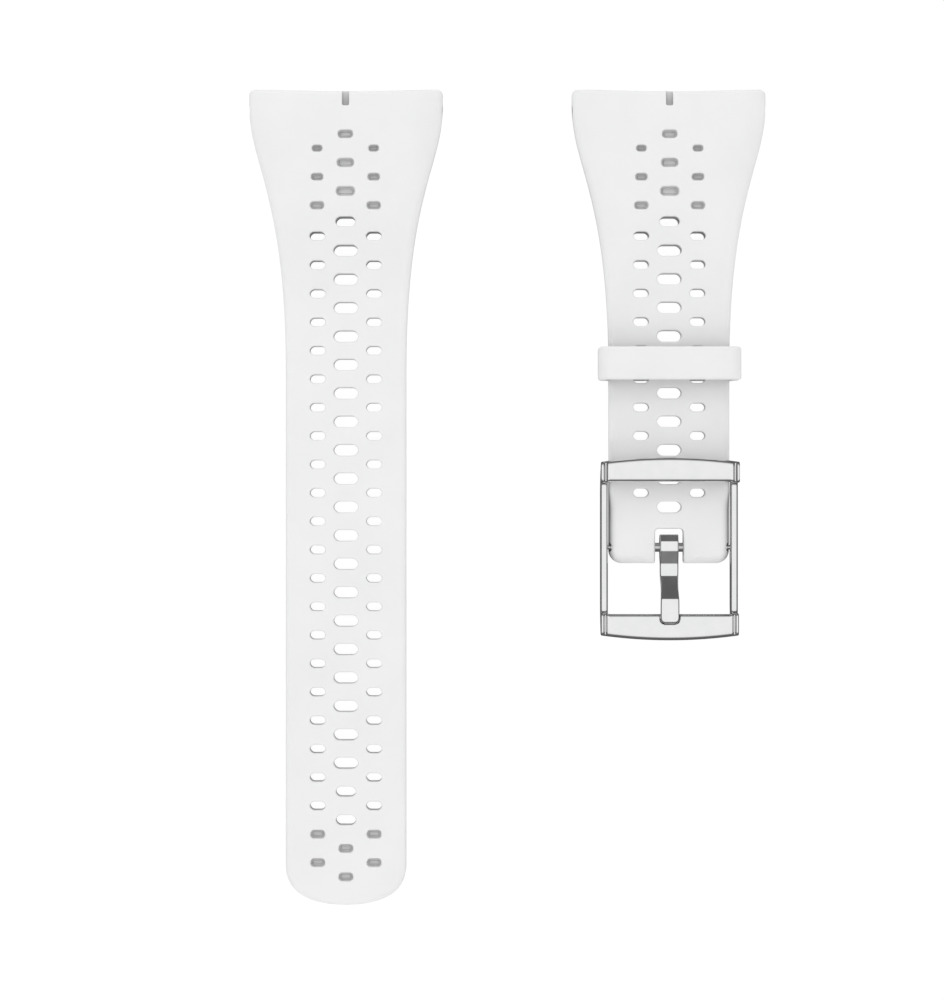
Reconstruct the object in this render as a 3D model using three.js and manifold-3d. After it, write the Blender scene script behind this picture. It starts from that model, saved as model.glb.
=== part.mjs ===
// A two-piece silicone wristband for a sports watch, lying flat with its outer faces up.
// Millimetres. +X across the straps, +Y towards the watch ends, +Z up.
// The origin is under the middle of the set, on the surface that it lies on.

import * as THREE from 'three';
import { mergeVertices } from 'three/addons/utils/BufferGeometryUtils.js';
import Module from 'manifold-3d';

const wasm = await Module();
wasm.setup();

// ---- Driving dimensions ----

const LONG_LENGTH = 136; // long strap, from its watch end to its tail
const SHORT_LENGTH = 79; // short strap, without its buckle
const STRAP_SPACING = 53.84; // from one strap's centre line to the other's
const BAND_WIDTH = 20.1;
const WIDE_WIDTH = 32.3; // at the watch end
const BAND_THICKNESS = 2.8;
const WIDE_THICKNESS = 5.2;
const END_THICKNESS = 4.2; // at the edge that meets the watch

const HOLE_PITCH = 4.733; // between slots of one column
const COLUMN_OFFSET = 4.7; // from the middle column to a side column
const FIRST_HOLE = 22.3; // from the watch end to the first slot that goes through

const LONG_MIDDLE_HOLES = 22;
const SHORT_MIDDLE_HOLES = 11;
const BLIND_ROWS = 3; // pockets between the first through slot and the watch end
const TAIL_BLIND_ROWS = 2;
const POCKET_DEPTH = 1.1;

const KEEPER_LIFT = 1.0; // the short strap lies this much higher, on its keeper
const KEEPER_LENGTH = 5.5;
const KEEPER_FROM_END = 45.8; // from the watch end to the keeper's middle
const KEEPER_WALL = 1.15;
const KEEPER_FLANK = 1.5;
const KEEPER_BASE = 0.8;
const KEEPER_SIDE_ROOM = 0.32; // between the band and the keeper, each side

const PIN_FROM_END = 2.65; // from the short strap's end to the spring bar's axis
const PIN_RADIUS = 0.75;
const RUNNING_GAP = 0.06;

const FRAME_WIDTH = 22.9;
const RAIL_WIDTH = 1.25;
const RAIL_HEIGHT = 2.4;
const BAR_THICKNESS = 1.1;
const BAR_DEPTH = 3.4; // at its ends, along the strap
const BAR_ARCH = 0.8; // more depth at its middle
const FAR_BAR_DROP = 2.0; // the bar that the tongue rests on lies this much lower
const NEAR_BAR = 10.8; // from the pin to the inner edge of the bar over the strap
const FAR_BAR = 10.95; // from the pin to the inner edge of the bar that the tongue rests on

const TONGUE_WIDTH = 3.1;
const TONGUE_THICKNESS = 1.0;
const TONGUE_LENGTH = 12.6; // from the pin to the tip
const TONGUE_REST_DEPTH = 0.5; // the tip's seat in the far bar

const TUBE_END = 8.2; // the spring bar's tube, from the centre line
const TUBE_LIP = 0.35;
const TUBE_BORE = 0.52;
const TIP_RADIUS = 0.37;
const TIP_HEAD = 1.0;
const TIP_FLANGE = 9.4;
const FLANGE_THICKNESS = 0.35;
const TIP_END = 11.0;

const LUG_PIN_FROM_END = 3.6; // from the watch end to the lug pin's axis
const LUG_PIN_HEIGHT = 1.55;
const LUG_PIN_RADIUS = 0.75;
const LUG_RECESS_WIDTH = 18;
const LUG_RECESS_LENGTH = 7;
const LUG_RECESS_HEIGHT = 2.6;
const FIT_GAP = 0.05; // between pieces that sit tight in one another

// ---- Places worked out from them ----

const WATCH_END = LONG_LENGTH / 2;
const LONG_TAIL = WATCH_END - LONG_LENGTH;
const SHORT_END = WATCH_END - SHORT_LENGTH;
const SHORT_TOP = KEEPER_LIFT + BAND_THICKNESS;
const PIN_Y = SHORT_END + PIN_FROM_END;
const PIN_Z = KEEPER_LIFT + BAND_THICKNESS / 2;
const STRAP_ROOM = BAND_THICKNESS + 0.3; // free height for the long strap over the short one
const NEAR_BAR_TOP = SHORT_TOP + STRAP_ROOM + BAR_THICKNESS;
const FAR_BAR_TOP = NEAR_BAR_TOP - FAR_BAR_DROP;
const TOO_FAR = 100; // past the object on every side, for cutters
const ABOVE_ALL = 12;
const BELOW_ALL = -1;
const ROUND_STEPS = 16;

// ---- Materials ----

function silicone() {
  return new THREE.MeshStandardMaterial({ color: 0xeeeeee, roughness: 0.62, metalness: 0 });
}

function polishedSteel() {
  return new THREE.MeshStandardMaterial({ color: 0xd4d5d6, roughness: 0.12, metalness: 1 });
}

function plainSteel() {
  return new THREE.MeshStandardMaterial({ color: 0xb4b6b8, roughness: 0.35, metalness: 1 });
}

function springSteel() {
  return new THREE.MeshStandardMaterial({ color: 0x8f9194, roughness: 0.4, metalness: 1 });
}

function hardPlastic() {
  return new THREE.MeshStandardMaterial({ color: 0xd9d9d6, roughness: 0.5, metalness: 0 });
}

// ---- Solids: closed three.js geometries joined and cut ----

function solid(geometry) {
  const bare = geometry.clone();
  bare.deleteAttribute('normal');
  bare.deleteAttribute('uv');
  const merged = mergeVertices(bare, 1e-4);
  const corners = merged.index.array;
  const kept = [];
  for (let i = 0; i < corners.length; i += 3) {
    const [a, b, c] = corners.slice(i, i + 3);
    if (a !== b && b !== c && c !== a) kept.push(a, b, c);
  }
  const vertProperties = new Float32Array(merged.attributes.position.array);
  const mesh = new wasm.Mesh({ numProp: 3, vertProperties, triVerts: new Uint32Array(kept) });
  return new wasm.Manifold(mesh);
}

function named(name, body, material) {
  const { vertProperties, triVerts } = body.getMesh();
  const geometry = new THREE.BufferGeometry();
  geometry.setAttribute('position', new THREE.BufferAttribute(vertProperties, 3));
  geometry.setIndex(new THREE.BufferAttribute(triVerts, 1));
  geometry.computeVertexNormals();
  const mesh = new THREE.Mesh(geometry, material);
  mesh.name = name;
  return mesh;
}

function extruded(shape, depth, curveSegments) {
  return new THREE.ExtrudeGeometry(shape, { depth, steps: 1, bevelEnabled: false, curveSegments });
}

// A shape drawn in X and Y, from z = low to z = high.
function upright(shape, low, high, curveSegments = 4) {
  return solid(extruded(shape, high - low, curveSegments).translate(0, 0, low));
}

// A shape drawn in Y and Z, from x = -half to x = half.
function acrossX(shape, half, curveSegments = 4) {
  const turn = new THREE.Matrix4().makeBasis(
    new THREE.Vector3(0, 1, 0),
    new THREE.Vector3(0, 0, 1),
    new THREE.Vector3(1, 0, 0),
  );
  return solid(extruded(shape, 2 * half, curveSegments).translate(0, 0, -half).applyMatrix4(turn));
}

// A shape drawn in X and Z, from y = low to y = high.
function alongY(shape, low, high, curveSegments = 4) {
  const turn = new THREE.Matrix4().makeBasis(
    new THREE.Vector3(1, 0, 0),
    new THREE.Vector3(0, 0, 1),
    new THREE.Vector3(0, -1, 0),
  );
  const geometry = extruded(shape, high - low, curveSegments).applyMatrix4(turn);
  return solid(geometry.translate(0, high, 0));
}

// A box from one corner to the other.
function block(x0, x1, y0, y1, z0, z1) {
  const geometry = new THREE.BoxGeometry(x1 - x0, y1 - y0, z1 - z0);
  return solid(geometry.translate((x0 + x1) / 2, (y0 + y1) / 2, (z0 + z1) / 2));
}

// A round bar along X, from x0 to x1, on the axis at y, z.
function rod(radius, x0, x1, y, z, sides = ROUND_STEPS) {
  const geometry = new THREE.CylinderGeometry(radius, radius, x1 - x0, sides);
  return solid(geometry.rotateZ(-Math.PI / 2).translate((x0 + x1) / 2, y, z));
}

// A turned piece along X. The profile holds [x, radius] pairs and starts and ends on the axis.
function turned(profile, y, z) {
  const points = profile.map(([x, radius]) => new THREE.Vector2(radius, x));
  const geometry = new THREE.LatheGeometry(points, ROUND_STEPS);
  return solid(geometry.rotateZ(-Math.PI / 2).translate(0, y, z));
}

// The same piece on the right side (1) or, mirrored, on the left (-1).
function turnedOnSide(profile, side, y, z) {
  const placed = profile.map(([x, radius]) => [side * x, radius]);
  return turned(side < 0 ? placed.reverse() : placed, y, z);
}

// A closed outline from its right half, which runs from the line x = 0 round to x = 0 again.
function mirrored(rightHalf, divisions) {
  const right = rightHalf.getPoints(divisions);
  const left = right.slice(1, -1).reverse().map((point) => new THREE.Vector2(-point.x, point.y));
  return new THREE.Shape([...right, ...left]);
}

// ---- The strap's form, shared by both straps ----

const FLARE_TOP = WATCH_END - 2.3; // the sides are straight above this
const FLARE_FOOT = WATCH_END - 47.2; // and below this
const FLARE_TOP_PULL = 10.7; // the S's two handles, as lengths along the strap
const FLARE_FOOT_PULL = 30.7;
const OUTLINE_STEPS = 9; // for each curve of an outline

// The right half of the watch end and flare: hollowed end, small corner, long S down to the band.
function flaredHalf() {
  const half = WIDE_WIDTH / 2;
  const bandHalf = BAND_WIDTH / 2;
  const cornerRadius = 0.9;
  const hollow = 0.4;
  const path = new THREE.Path();
  path.moveTo(0, WATCH_END - hollow);
  path.quadraticCurveTo(half / 2, WATCH_END - hollow, half - cornerRadius, WATCH_END);
  path.quadraticCurveTo(half, WATCH_END, half, WATCH_END - cornerRadius);
  path.lineTo(half, FLARE_TOP);
  path.bezierCurveTo(
    half, FLARE_TOP - FLARE_TOP_PULL,
    bandHalf, FLARE_FOOT + FLARE_FOOT_PULL,
    bandHalf, FLARE_FOOT,
  );
  return path;
}

// The tail narrows in one full curve from its sides to its slightly bowed end.
function longPlan() {
  const half = BAND_WIDTH / 2;
  const tailLength = 6.7;
  const fullness = 0.7;
  const path = flaredHalf();
  path.lineTo(half, LONG_TAIL + tailLength);
  path.bezierCurveTo(
    half, LONG_TAIL + tailLength * (1 - fullness),
    half * (1 - fullness) * 2, LONG_TAIL,
    0, LONG_TAIL,
  );
  return mirrored(path, OUTLINE_STEPS);
}

function shortPlan() {
  const half = BAND_WIDTH / 2;
  const cornerRadius = 2.2;
  const path = flaredHalf();
  path.lineTo(half, SHORT_END + cornerRadius);
  path.absarc(half - cornerRadius, SHORT_END + cornerRadius, cornerRadius, 0, -Math.PI / 2, true);
  path.lineTo(0, SHORT_END);
  return mirrored(path, OUTLINE_STEPS);
}

// The strap seen from its edge: even in the band, thicker over the flare, curved down at the watch end.
// Where the band is lifted, its underside comes down to the surface over the flare.
function sideProfile(freeEnd, lift) {
  const bandEnds = WATCH_END - 36;
  const wideStarts = WATCH_END - 19;
  const pull = 7;
  const edgeRadius = 0.8;
  const slopeMiddle = WATCH_END - 4;
  const slopeEnd = WATCH_END - 8;
  const top = lift + BAND_THICKNESS;
  const shape = new THREE.Shape();
  shape.moveTo(WATCH_END, 0);
  shape.lineTo(WATCH_END, END_THICKNESS - edgeRadius);
  shape.lineTo(WATCH_END - edgeRadius, END_THICKNESS);
  shape.quadraticCurveTo(slopeMiddle, WIDE_THICKNESS, slopeEnd, WIDE_THICKNESS);
  shape.lineTo(wideStarts, WIDE_THICKNESS);
  shape.bezierCurveTo(wideStarts - pull, WIDE_THICKNESS, bandEnds + pull, top, bandEnds, top);
  shape.lineTo(freeEnd, top);
  shape.lineTo(freeEnd, lift);
  if (lift > 0) {
    shape.lineTo(bandEnds, lift);
    shape.bezierCurveTo(bandEnds + pull, lift, wideStarts - pull, 0, wideStarts, 0);
  }
  return shape;
}

// The wide end seen from the watch: flat in the middle, with shoulders that slope to its edges.
function shoulderProfile() {
  const half = WIDE_WIDTH / 2 + 0.2; // just past the strap's sides and top
  const top = WIDE_THICKNESS + 0.1;
  const shoulderStart = 10.5;
  const edgeHeight = 2.7;
  const path = new THREE.Path();
  path.moveTo(0, BELOW_ALL);
  path.lineTo(half, BELOW_ALL);
  path.lineTo(half, edgeHeight);
  path.bezierCurveTo(half - 0.6, edgeHeight + 1.2, half - 3, top, shoulderStart, top);
  path.lineTo(0, top);
  return mirrored(path, 5);
}

function strapBody(plan, freeEnd, lift) {
  return upright(plan, BELOW_ALL, ABOVE_ALL)
    .intersect(acrossX(sideProfile(freeEnd, lift), WIDE_WIDTH, 6))
    .intersect(alongY(shoulderProfile(), -TOO_FAR, TOO_FAR));
}

// ---- The slots ----

// A slot with round ends, longer across the strap, from z = low upwards.
function slotCutter([length, width], x, y, low) {
  const radius = width / 2;
  const straight = length / 2 - radius;
  const shape = new THREE.Shape();
  shape.absarc(x + straight, y, radius, -Math.PI / 2, Math.PI / 2);
  shape.absarc(x - straight, y, radius, Math.PI / 2, Math.PI * 1.5);
  return upright(shape, low, ABOVE_ALL, 3);
}

const MIDDLE_SLOT = [4.1, 2.0];
const MIDDLE_END_SLOT = [3.3, 1.7];
const SIDE_SLOT = [2.7, 1.5];
const TAIL_POCKET = [2.3, 1.4];
const MIDDLE_POCKETS = [[2.9, 1.5], [2.6, 1.4], [2.3, 1.3]]; // away from the band
const SIDE_POCKETS = [[2.3, 1.3], [2.0, 1.2], [1.7, 1.1]];

// One column: pockets in the wide end, slots that go through, and pockets again in the tail.
function column(x, firstFromEnd, count, sizeOf, pockets, tailRows, lift) {
  const firstY = WATCH_END - firstFromEnd;
  const cutters = [];
  for (let i = 1; i <= BLIND_ROWS; i += 1) {
    cutters.push(slotCutter(pockets[i - 1], x, firstY + i * HOLE_PITCH, WIDE_THICKNESS - POCKET_DEPTH));
  }
  for (let i = 0; i < count; i += 1) {
    cutters.push(slotCutter(sizeOf(i), x, firstY - i * HOLE_PITCH, BELOW_ALL));
  }
  for (let i = count; i < count + tailRows; i += 1) {
    const floor = lift + BAND_THICKNESS - POCKET_DEPTH;
    cutters.push(slotCutter(TAIL_POCKET, x, firstY - i * HOLE_PITCH, floor));
  }
  return cutters;
}

// All three columns. The side columns stand half a pitch lower and have one slot fewer.
function slotColumns(count, tailRows, lift) {
  const smaller = (i) => i === 0 || (tailRows > 0 && i >= count - 2);
  const middle = (i) => (smaller(i) ? MIDDLE_END_SLOT : MIDDLE_SLOT);
  const cutters = column(0, FIRST_HOLE, count, middle, MIDDLE_POCKETS, tailRows, lift);
  for (const side of [-1, 1]) {
    const x = side * COLUMN_OFFSET;
    const first = FIRST_HOLE + HOLE_PITCH / 2;
    cutters.push(...column(x, first, count - 1, () => SIDE_SLOT, SIDE_POCKETS, tailRows, lift));
  }
  return cutters;
}

// ---- What the watch end holds ----

const LUG_PIN_Y = WATCH_END - LUG_PIN_FROM_END;
const BUSH_RADIUS = 1.2;
const BUSH_END = 15.0; // from the centre line
const SCREW_HEAD_RADIUS = 1.1;
const SCREW_HEAD_END = 15.9;
const SCREW_SHANK_RADIUS = 0.4;
const SCREW_SHANK_END = 10.2;

// Cuts the lug recess, the cross bore and the small notch in the middle of the end.
function watchEndCutters() {
  const recessHalf = LUG_RECESS_WIDTH / 2;
  const recessEnd = WATCH_END - LUG_RECESS_LENGTH;
  const notchHalf = 0.6;
  const notchEnd = WATCH_END - 2.7;
  const notchFloor = END_THICKNESS - 0.8;
  const past = WATCH_END + 1;
  const recess = block(-recessHalf, recessHalf, recessEnd, past, BELOW_ALL, LUG_RECESS_HEIGHT);
  const bore = rod(BUSH_RADIUS + FIT_GAP, -WIDE_WIDTH, WIDE_WIDTH, LUG_PIN_Y, LUG_PIN_HEIGHT);
  const notch = block(-notchHalf, notchHalf, notchEnd, past, notchFloor, ABOVE_ALL);
  return [recess, bore, notch];
}

function lugPin() {
  const end = BUSH_END - 0.1;
  const boreEnd = SCREW_SHANK_END - 0.3; // the thread runs on past the screw's end
  const boreRadius = SCREW_SHANK_RADIUS + FIT_GAP;
  return turned([
    [-boreEnd, 0],
    [-boreEnd, boreRadius],
    [-end, boreRadius],
    [-end, LUG_PIN_RADIUS],
    [end, LUG_PIN_RADIUS],
    [end, boreRadius],
    [boreEnd, boreRadius],
    [boreEnd, 0],
  ], LUG_PIN_Y, LUG_PIN_HEIGHT);
}

function lugBush(side) {
  const inner = LUG_RECESS_WIDTH / 2;
  const [x0, x1] = side < 0 ? [-BUSH_END, -inner] : [inner, BUSH_END];
  return rod(BUSH_RADIUS, x0, x1, LUG_PIN_Y, LUG_PIN_HEIGHT)
    .subtract(rod(LUG_PIN_RADIUS + FIT_GAP, x0 - 1, x1 + 1, LUG_PIN_Y, LUG_PIN_HEIGHT));
}

function lugScrew(side) {
  const headStart = BUSH_END + FIT_GAP;
  const socketDepth = 0.5;
  const socketRadius = 0.5;
  const socketSides = 6;
  const screw = turnedOnSide([
    [SCREW_SHANK_END, 0],
    [SCREW_SHANK_END, SCREW_SHANK_RADIUS],
    [headStart, SCREW_SHANK_RADIUS],
    [headStart, SCREW_HEAD_RADIUS],
    [SCREW_HEAD_END, SCREW_HEAD_RADIUS],
    [SCREW_HEAD_END, 0],
  ], side, LUG_PIN_Y, LUG_PIN_HEIGHT);
  const floor = side * (SCREW_HEAD_END - socketDepth);
  const mouth = side * (SCREW_HEAD_END + 1);
  const [x0, x1] = side < 0 ? [mouth, floor] : [floor, mouth];
  return screw.subtract(rod(socketRadius, x0, x1, LUG_PIN_Y, LUG_PIN_HEIGHT, socketSides));
}

function lugHardware(prefix) {
  const pieces = [named(`${prefix}_lug_pin`, lugPin(), plainSteel())];
  for (const [word, side] of [['left', -1], ['right', 1]]) {
    pieces.push(named(`${prefix}_lug_bush_${word}`, lugBush(side), hardPlastic()));
    pieces.push(named(`${prefix}_lug_screw_${word}`, lugScrew(side), plainSteel()));
  }
  return pieces;
}

// ---- The two straps ----

function cutAll(body, cutters) {
  return cutters.reduce((left, cutter) => left.subtract(cutter), body);
}

function longStrap() {
  const body = strapBody(longPlan(), LONG_TAIL, 0);
  return cutAll(body, [...slotColumns(LONG_MIDDLE_HOLES, TAIL_BLIND_ROWS, 0), ...watchEndCutters()]);
}

// The slot that the tongue turns in, open at the strap's end.
function tongueSlot() {
  const half = 2.3;
  const cornerRadius = 0.6;
  const depth = PIN_Y + 3.1;
  const path = new THREE.Path();
  path.moveTo(0, SHORT_END - 1);
  path.lineTo(half, SHORT_END - 1);
  path.lineTo(half, depth - cornerRadius);
  path.absarc(half - cornerRadius, depth - cornerRadius, cornerRadius, 0, Math.PI / 2);
  path.lineTo(0, depth);
  return upright(mirrored(path, 4), BELOW_ALL, ABOVE_ALL);
}

function shortStrap() {
  const body = strapBody(shortPlan(), SHORT_END, KEEPER_LIFT);
  const pinBore = rod(PIN_RADIUS + RUNNING_GAP, -BAND_WIDTH, BAND_WIDTH, PIN_Y, PIN_Z);
  return cutAll(body, [
    ...slotColumns(SHORT_MIDDLE_HOLES, 0, KEEPER_LIFT),
    ...watchEndCutters(),
    tongueSlot(),
    pinBore,
  ]);
}

// ---- Keeper ----

// A rectangle with round corners, in X and Z.
function roundedRectangle(half, low, high, radius) {
  const shape = new THREE.Shape();
  shape.moveTo(half, low + radius);
  shape.absarc(half - radius, high - radius, radius, 0, Math.PI / 2);
  shape.absarc(-half + radius, high - radius, radius, Math.PI / 2, Math.PI);
  shape.absarc(-half + radius, low + radius, radius, Math.PI, Math.PI * 1.5);
  shape.absarc(half - radius, low + radius, radius, -Math.PI / 2, 0);
  return shape;
}

function keeperLoop() {
  const innerHalf = BAND_WIDTH / 2 + KEEPER_SIDE_ROOM;
  const innerTop = SHORT_TOP + STRAP_ROOM;
  const outerRadius = 2.0;
  const innerRadius = 0.7;
  const middle = WATCH_END - KEEPER_FROM_END;
  const low = middle - KEEPER_LENGTH / 2;
  const high = middle + KEEPER_LENGTH / 2;
  const outer = roundedRectangle(innerHalf + KEEPER_FLANK, 0, innerTop + KEEPER_WALL, outerRadius);
  const inner = roundedRectangle(innerHalf, KEEPER_BASE, innerTop, innerRadius);
  return alongY(outer, low, high, 5).subtract(alongY(inner, low - 1, high + 1, 3));
}

// ---- Buckle ----

// Seen from above: straight rails, arched bars, small corners.
function framePlan() {
  const half = FRAME_WIDTH / 2;
  const cornerRadius = 0.8;
  const near = PIN_Y + NEAR_BAR + BAR_DEPTH;
  const far = PIN_Y - FAR_BAR - BAR_DEPTH;
  const path = new THREE.Path();
  path.moveTo(0, near + BAR_ARCH);
  path.quadraticCurveTo(half / 2, near + BAR_ARCH, half - cornerRadius, near);
  path.quadraticCurveTo(half, near, half, near - cornerRadius);
  path.lineTo(half, far + cornerRadius);
  path.quadraticCurveTo(half, far, half - cornerRadius, far);
  path.quadraticCurveTo(half / 2, far - BAR_ARCH, 0, far - BAR_ARCH);
  return mirrored(path, 5);
}

// Seen from the side, with the pin at y = 0: a straight rail with a raised bar on each end.
function frameSide() {
  const railLow = PIN_Z - RAIL_HEIGHT / 2;
  const railHigh = PIN_Z + RAIL_HEIGHT / 2;
  const railHalf = 8.5; // the underside is straight this far either side of the pin
  const outerBend = 1.0; // past the bar's inner edge, where the leg's underside turns up
  const innerBend = 0.8; // between the rail's top and the leg
  const edge = 0.4;
  const past = BAR_DEPTH + BAR_ARCH;
  const nearUnderside = NEAR_BAR_TOP - BAR_THICKNESS;
  const farUnderside = FAR_BAR_TOP - BAR_THICKNESS;
  const shape = new THREE.Shape();
  shape.moveTo(-FAR_BAR - past, FAR_BAR_TOP);
  shape.lineTo(-FAR_BAR - past, farUnderside - edge);
  shape.quadraticCurveTo(-FAR_BAR - outerBend, railLow, -railHalf, railLow);
  shape.lineTo(railHalf, railLow);
  shape.quadraticCurveTo(NEAR_BAR + outerBend, railLow, NEAR_BAR + past, nearUnderside - edge);
  shape.lineTo(NEAR_BAR + past, NEAR_BAR_TOP);
  shape.lineTo(NEAR_BAR + edge, NEAR_BAR_TOP);
  shape.lineTo(NEAR_BAR, NEAR_BAR_TOP - edge);
  shape.lineTo(NEAR_BAR, railHigh + innerBend);
  shape.quadraticCurveTo(NEAR_BAR, railHigh, NEAR_BAR - innerBend, railHigh);
  shape.lineTo(-FAR_BAR + innerBend, railHigh);
  shape.quadraticCurveTo(-FAR_BAR, railHigh, -FAR_BAR, railHigh + innerBend);
  shape.lineTo(-FAR_BAR, FAR_BAR_TOP - edge);
  shape.lineTo(-FAR_BAR - edge, FAR_BAR_TOP);
  return shape;
}

// Seen along the strap: a gate, with the bar across the top and a leg at each side.
function frameGate(top) {
  const half = FRAME_WIDTH / 2;
  const innerHalf = half - RAIL_WIDTH;
  const underside = top - BAR_THICKNESS;
  const outerRadius = 0.8;
  const innerRadius = 0.5;
  const path = new THREE.Path();
  path.moveTo(0, top);
  path.lineTo(half - outerRadius, top);
  path.absarc(half - outerRadius, top - outerRadius, outerRadius, Math.PI / 2, 0, true);
  path.lineTo(half, 0);
  path.lineTo(innerHalf, 0);
  path.lineTo(innerHalf, underside - innerRadius);
  path.absarc(innerHalf - innerRadius, underside - innerRadius, innerRadius, 0, Math.PI / 2);
  path.lineTo(0, underside);
  return mirrored(path, 4);
}

function buckleFrame() {
  const half = FRAME_WIDTH / 2;
  const innerHalf = half - RAIL_WIDTH;
  const tipHoleEnd = half - 0.35;
  const restRoom = 0.15;
  const restHalf = TONGUE_WIDTH / 2 + restRoom;
  const restEnd = PIN_Y - TONGUE_LENGTH - restRoom;
  const restLow = FAR_BAR_TOP - TONGUE_REST_DEPTH;
  const near = NEAR_BAR + BAR_DEPTH + BAR_ARCH + 1;
  const far = FAR_BAR + BAR_DEPTH + BAR_ARCH + 1;
  const window = block(-innerHalf, innerHalf, PIN_Y - FAR_BAR, PIN_Y + NEAR_BAR, BELOW_ALL, ABOVE_ALL);
  const tipHoles = rod(TIP_RADIUS + RUNNING_GAP, -tipHoleEnd, tipHoleEnd, PIN_Y, PIN_Z);
  const tongueRest = block(-restHalf, restHalf, restEnd, PIN_Y, restLow, ABOVE_ALL);
  return alongY(frameGate(NEAR_BAR_TOP), PIN_Y - 1, PIN_Y + near)
    .add(alongY(frameGate(FAR_BAR_TOP), PIN_Y - far, PIN_Y + 1))
    .intersect(upright(framePlan(), BELOW_ALL, ABOVE_ALL))
    .intersect(acrossX(frameSide(), FRAME_WIDTH).translate([0, PIN_Y, 0]))
    .subtract(window)
    .subtract(tipHoles)
    .subtract(tongueRest);
}

// The tongue from the side, with the pin at 0, 0: a curl round the pin, a slope down to a short
// flat, a straight rise and a flat tip.
function buckleTongue() {
  const thick = TONGUE_THICKNESS;
  const curlBack = 2.0;
  const curlTop = 1.75;
  const curlBottom = 1.45;
  const slopeStart = -0.45;
  const flatStart = -2.9;
  const flatEnd = -5.0;
  const flatTop = 0.9;
  const flatLow = flatTop - thick;
  const curlJoin = [-2.2, flatLow - 0.4]; // where the curl's end meets the tongue's underside
  const tipStart = -8.7;
  const tipLow = FAR_BAR_TOP - TONGUE_REST_DEPTH + FIT_GAP - PIN_Z;
  const tipTop = tipLow + thick;
  const bend = 0.4; // between the two faces of the rise, along the strap
  const tipRadius = 0.6;
  const shape = new THREE.Shape();
  shape.moveTo(0, curlTop);
  shape.quadraticCurveTo(curlBack, curlTop, curlBack, 0);
  shape.quadraticCurveTo(curlBack, -curlBottom, 0, -curlBottom);
  shape.quadraticCurveTo(-1.6, -curlBottom, ...curlJoin);
  shape.lineTo(flatStart, flatLow);
  shape.lineTo(flatEnd - bend, flatLow);
  shape.lineTo(tipStart - bend, tipLow);
  shape.lineTo(-TONGUE_LENGTH, tipLow);
  shape.lineTo(-TONGUE_LENGTH, tipTop - tipRadius);
  shape.quadraticCurveTo(-TONGUE_LENGTH, tipTop, -TONGUE_LENGTH + tipRadius, tipTop);
  shape.lineTo(tipStart, tipTop);
  shape.lineTo(flatEnd, flatTop);
  shape.lineTo(flatStart, flatTop);
  shape.lineTo(slopeStart, curlTop);
  const hole = rod(PIN_RADIUS + RUNNING_GAP, -TONGUE_WIDTH, TONGUE_WIDTH, 0, 0);
  return acrossX(shape, TONGUE_WIDTH / 2).subtract(hole).translate([0, PIN_Y, PIN_Z]);
}

// ---- Spring bar ----

// Open from end to end, with a crimped lip at each end that keeps the tips in.
function springBarTube() {
  const bore = rod(TUBE_BORE, -TUBE_END + TUBE_LIP, TUBE_END - TUBE_LIP, PIN_Y, PIN_Z);
  const mouth = rod(TIP_RADIUS + RUNNING_GAP, -TUBE_END - 1, TUBE_END + 1, PIN_Y, PIN_Z);
  return rod(PIN_RADIUS, -TUBE_END, TUBE_END, PIN_Y, PIN_Z).subtract(bore.add(mouth));
}

function springBarTip(side) {
  const headOut = TUBE_END - TUBE_LIP - FIT_GAP;
  const chamfer = 0.15;
  return turnedOnSide([
    [headOut - TIP_HEAD, 0],
    [headOut - TIP_HEAD, TUBE_BORE - RUNNING_GAP],
    [headOut, TUBE_BORE - RUNNING_GAP],
    [headOut, TIP_RADIUS],
    [TIP_FLANGE, TIP_RADIUS],
    [TIP_FLANGE, PIN_RADIUS],
    [TIP_FLANGE + FLANGE_THICKNESS, PIN_RADIUS],
    [TIP_FLANGE + FLANGE_THICKNESS, TIP_RADIUS],
    [TIP_END - chamfer, TIP_RADIUS],
    [TIP_END, TIP_RADIUS - chamfer],
    [TIP_END, 0],
  ], side, PIN_Y, PIN_Z);
}

class Helix extends THREE.Curve {
  constructor(radius, halfLength, turns) {
    super();
    this.radius = radius;
    this.halfLength = halfLength;
    this.turns = turns;
  }

  getPoint(t, target = new THREE.Vector3()) {
    const angle = t * this.turns * Math.PI * 2;
    const x = (2 * t - 1) * this.halfLength;
    return target.set(x, this.radius * Math.cos(angle), this.radius * Math.sin(angle));
  }
}

function springBarSpring() {
  const wireRadius = 0.08;
  const turns = 9;
  const room = 0.35; // between the wire's ends and the tips' heads
  const halfLength = TUBE_END - TUBE_LIP - TIP_HEAD - room;
  const wire = new THREE.Shape();
  wire.absarc(0, 0, wireRadius, 0, Math.PI * 2);
  const extrudePath = new Helix(TUBE_BORE - 2 * wireRadius, halfLength, turns);
  const geometry = new THREE.ExtrudeGeometry(wire, { steps: turns * 7, curveSegments: 4, extrudePath });
  return solid(geometry).translate([0, PIN_Y, PIN_Z]);
}

// ---- The set ----

function placedGroup(x, meshes) {
  const group = new THREE.Group();
  group.position.x = x;
  group.add(...meshes);
  return group;
}

const longSide = placedGroup(-STRAP_SPACING / 2, [
  named('long_strap', longStrap(), silicone()),
  ...lugHardware('long'),
]);

const shortSide = placedGroup(STRAP_SPACING / 2, [
  named('short_strap', shortStrap(), silicone()),
  ...lugHardware('short'),
  named('keeper_loop', keeperLoop(), silicone()),
  named('buckle_frame', buckleFrame(), polishedSteel()),
  named('buckle_tongue', buckleTongue(), polishedSteel()),
  named('spring_bar_tube', springBarTube(), plainSteel()),
  named('spring_bar_tip_left', springBarTip(-1), plainSteel()),
  named('spring_bar_tip_right', springBarTip(1), plainSteel()),
  named('spring_bar_spring', springBarSpring(), springSteel()),
]);

const wristband = new THREE.Group();
wristband.add(longSide, shortSide);

export default wristband;
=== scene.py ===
import math

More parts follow.
